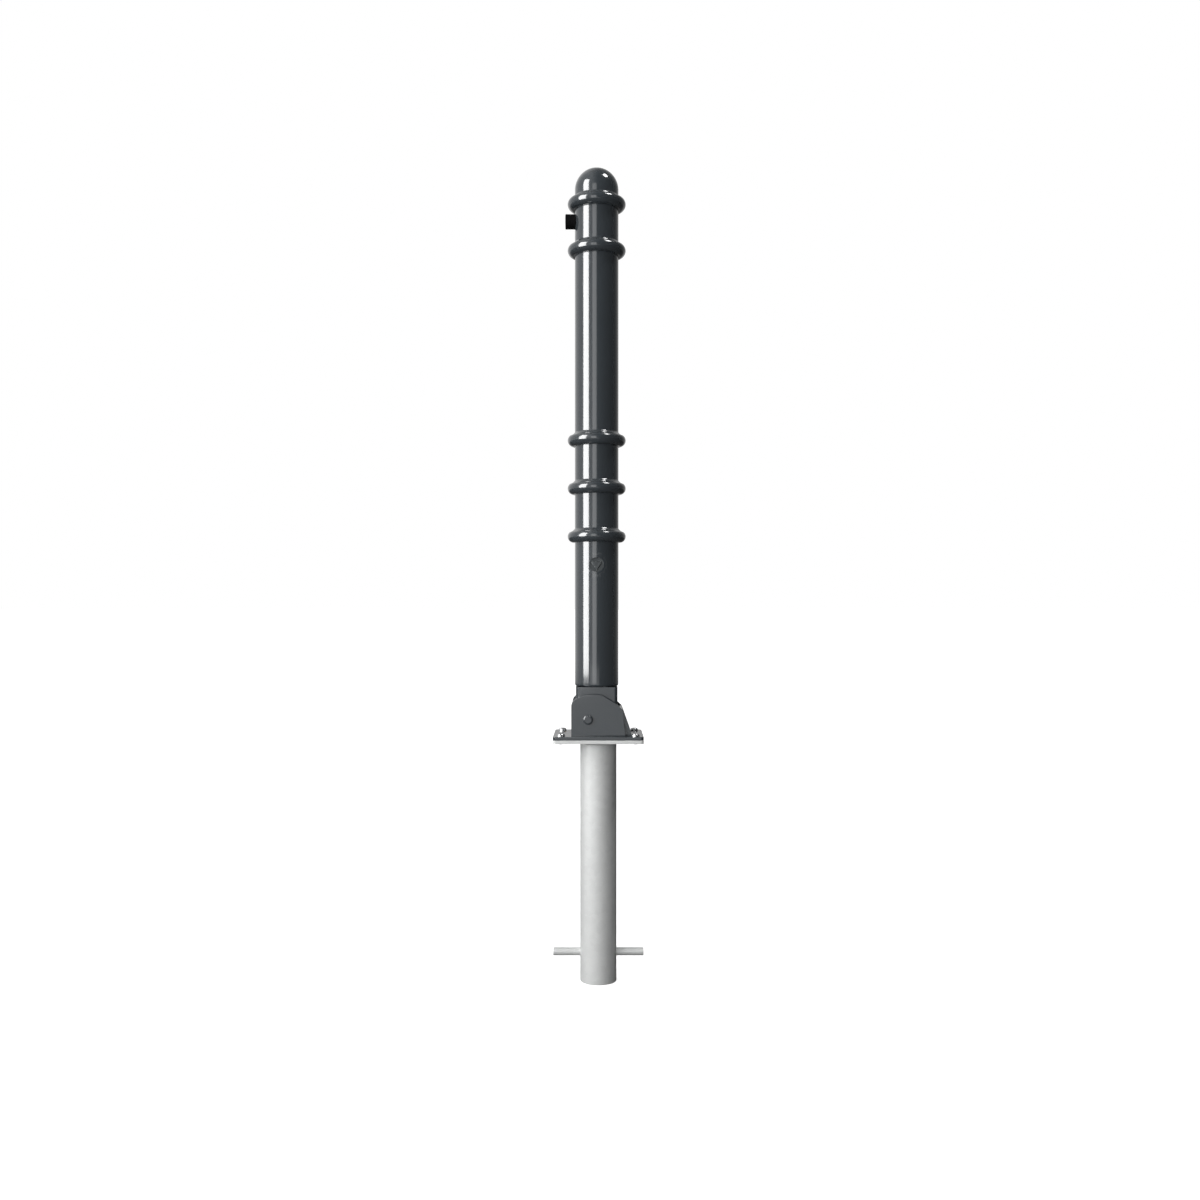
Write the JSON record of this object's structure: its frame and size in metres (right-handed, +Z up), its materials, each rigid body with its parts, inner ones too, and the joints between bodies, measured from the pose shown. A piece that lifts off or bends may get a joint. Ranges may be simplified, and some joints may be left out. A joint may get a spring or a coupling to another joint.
{
  "type": "fold-down bollard",
  "caption": "Fold-down steel bollard with a domed top, bead rings and a rubber buffer, hinged in a bracket on a bolted cast-in ground anchor with a key lock.",
  "frame": {"origin": "ground level: the middle of the anchor plate's underside, at the top of the buried anchor", "axes": "+Z up along the post and the buried tube, -X the side the post folds down to, +X the side the hinge bracket closes, the lock faces -Y"},
  "size_m": [0.158, 0.124, 1.42],
  "materials": {
    "anthracite_coat": "glossy powder coat",
    "galvanised_steel": "matt hot-dip galvanised",
    "weld_metal": "galvanised weld bead",
    "zinc_plated_steel": "bright zinc plate",
    "bare_steel": "oiled bright steel",
    "bronze": "sintered bronze",
    "lock_metal": "blackened steel with a satin sheen",
    "black_rubber": "moulded rubber"
  },
  "bodies": {
    "base": {"anchor_tube": "galvanised_steel", "anchor_cross_bar": "galvanised_steel", "anchor_plate": "galvanised_steel", "anchor_weld": "weld_metal", "base_plate": "anthracite_coat", "fixing_screws": "zinc_plated_steel", "front_cheek": "anthracite_coat", "rear_cheek": "anthracite_coat", "cheek_welds": "anthracite_coat", "bracket_web": "anthracite_coat", "web_gussets": "anthracite_coat", "upright_stop": "anthracite_coat", "keeper_bar_left": "anthracite_coat", "keeper_bar_right": "anthracite_coat", "pivot_pin": "anthracite_coat", "pivot_washer": "zinc_plated_steel", "retaining_ring": "zinc_plated_steel"},
    "post": {"post_tube": "anthracite_coat", "tube_end_plate": "anthracite_coat", "dome_cap": "anthracite_coat", "bead_ring_1": "anthracite_coat", "bead_ring_2": "anthracite_coat", "bead_ring_3": "anthracite_coat", "bead_ring_4": "anthracite_coat", "bead_ring_5": "anthracite_coat", "foot_box": "anthracite_coat", "foot_bottom_plate": "anthracite_coat", "pivot_sleeve": "bare_steel", "front_bush": "bronze", "rear_bush": "bronze", "rod_guide": "bare_steel", "lock_housing": "anthracite_coat", "rubber_buffer": "black_rubber", "buffer_washer": "zinc_plated_steel", "buffer_screw": "zinc_plated_steel", "threaded_insert": "zinc_plated_steel"},
    "lock": {"lock_barrel": "lock_metal", "lock_crank": "bare_steel", "crank_stud": "bare_steel", "crank_screw": "zinc_plated_steel"},
    "latch": {"latch_rod": "bare_steel", "latch_yoke": "bare_steel", "yoke_rivets": "bare_steel"}
  },
  "joints": [
    {"name": "post_fold", "type": "hinge", "parent": "base", "child": "post", "pos_m": [-0.0176, 0, 0.04], "axis": [0, -1, 0], "range_deg": [0, 90]},
    {"name": "lock_turn", "type": "hinge", "parent": "post", "child": "lock", "pos_m": [-0.0029, -0.03, 0.306], "axis": [0, 1, 0], "range_deg": [0, 60]},
    {"name": "latch_slide", "type": "slide", "parent": "post", "child": "latch", "axis": [0, 0, -1], "range_m": [0, 0.014]}
  ],
  "couplings": [
    {"joint": "lock_turn", "follows": "latch_slide", "rad_per_m": 74.79}
  ]
}
